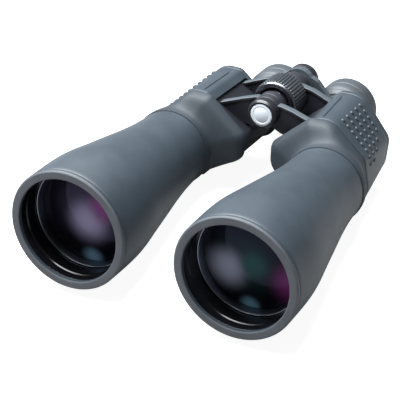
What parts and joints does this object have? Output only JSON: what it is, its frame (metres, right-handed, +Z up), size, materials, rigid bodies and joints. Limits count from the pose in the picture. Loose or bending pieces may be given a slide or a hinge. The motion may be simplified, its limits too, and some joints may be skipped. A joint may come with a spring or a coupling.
{
  "type": "astronomy binoculars",
  "caption": "Large Porro-prism binoculars with long flared objective barrels, a folding centre hinge, a ribbed focus wheel, eyepieces on a sliding bridge and rubber eyecups.",
  "frame": {"origin": "centre of the resting footprint: middle of the bounding box in X and Y, on the surface the binoculars lie on", "axes": "+Z up; +Y from the objectives towards the eyepieces; +X towards the user's left barrel"},
  "size_m": [0.2038, 0.273, 0.0895],
  "materials": {
    "armour": "soft-touch satin",
    "rim_rubber": "matte",
    "painted_metal": "fine satin paint",
    "black_metal": "black semi-gloss",
    "bright_metal": "turned",
    "brass": "machined",
    "black_plastic": "satin",
    "wheel_rubber": "matte ribbed",
    "badge": "satin silver",
    "objective_glass": "multi-coated, purple and green reflections",
    "clear_glass": "polished"
  },
  "bodies": {
    "left_half": {"left_objective_rim": "rim_rubber", "left_barrel": "armour", "left_lens_cell": "black_metal", "left_retaining_ring": "black_metal", "left_objective_crown": "objective_glass", "left_objective_flint": "objective_glass", "left_front_cover": "armour", "left_prism_housing": "painted_metal", "left_housing_armour": "armour", "left_rear_cover": "armour", "left_strap_lug": "painted_metal", "left_front_prism": "clear_glass", "left_rear_prism": "clear_glass", "left_prism_clip": "bright_metal", "left_prism_shelf": "black_metal", "left_front_arm": "painted_metal", "left_rear_arm": "painted_metal", "left_eyepiece_guide": "black_metal", "hinge_tube": "bright_metal", "tripod_bush": "brass"},
    "right_half": {"right_objective_rim": "rim_rubber", "right_barrel": "armour", "right_lens_cell": "black_metal", "right_retaining_ring": "black_metal", "right_objective_crown": "objective_glass", "right_objective_flint": "objective_glass", "right_front_cover": "armour", "right_prism_housing": "painted_metal", "right_housing_armour": "armour", "right_rear_cover": "armour", "right_strap_lug": "painted_metal", "right_front_prism": "clear_glass", "right_rear_prism": "clear_glass", "right_prism_clip": "bright_metal", "right_prism_shelf": "black_metal", "right_front_arm": "painted_metal", "right_rear_arm": "painted_metal", "right_eyepiece_guide": "black_metal"},
    "tripod_cap": {"tripod_cap": "black_plastic", "cap_badge": "badge"},
    "focus_wheel": {"focus_wheel_core": "black_plastic", "focus_wheel_trim": "bright_metal", "focus_wheel_grip": "wheel_rubber"},
    "left_bridge": {"left_bridge_arm": "painted_metal", "focus_rod": "bright_metal", "focus_sleeve": "painted_metal", "bridge_end_cap": "black_plastic", "left_ocular_barrel": "black_metal", "left_eyecup": "armour", "left_eye_lens": "clear_glass", "left_field_lens": "clear_glass"},
    "right_bridge": {"right_bridge_arm": "painted_metal"},
    "right_ocular": {"right_ocular_barrel": "black_metal", "right_eyecup": "armour", "right_eye_lens": "clear_glass", "right_field_lens": "clear_glass"},
    "diopter_ring": {"diopter_ring": "wheel_rubber"}
  },
  "joints": [
    {"name": "ipd_hinge", "type": "hinge", "parent": "left_half", "child": "right_half", "pos_m": [0, 0.04014, 0.06457], "axis": [0, 0.9967, -0.0815], "range_deg": [0, 46]},
    {"name": "focus_wheel_turn", "type": "hinge", "parent": "left_half", "child": "focus_wheel", "pos_m": [0, 0.05479, 0.06337], "axis": [0, 0.9967, -0.0815], "range_deg": [-100, 200]},
    {"name": "left_focus_slide", "type": "slide", "parent": "left_half", "child": "left_bridge", "axis": [0, 0.9967, -0.0815], "range_m": [-0.0025, 0.005]},
    {"name": "right_focus_slide", "type": "slide", "parent": "right_half", "child": "right_bridge", "axis": [0, 0.9967, -0.0815], "range_m": [-0.0025, 0.005]},
    {"name": "diopter_slide", "type": "slide", "parent": "right_bridge", "child": "right_ocular", "axis": [0, 0.9967, -0.0815], "range_m": [-0.0015, 0.0015]},
    {"name": "diopter_turn", "type": "hinge", "parent": "right_ocular", "child": "diopter_ring", "pos_m": [-0.028, 0.10489, 0.03309], "axis": [0, 0.9967, -0.0815], "range_deg": [-60, 60]},
    {"name": "tripod_cap_off", "type": "slide", "parent": "left_half", "child": "tripod_cap", "axis": [0, -0.9967, 0.0815], "range_m": [0, 0.012]}
  ],
  "couplings": [
    {"joint": "focus_wheel_turn", "follows": "left_focus_slide", "rad_per_m": 698.13},
    {"joint": "right_focus_slide", "follows": "left_focus_slide", "ratio": 1},
    {"joint": "diopter_turn", "follows": "diopter_slide", "rad_per_m": 698.13}
  ]
}
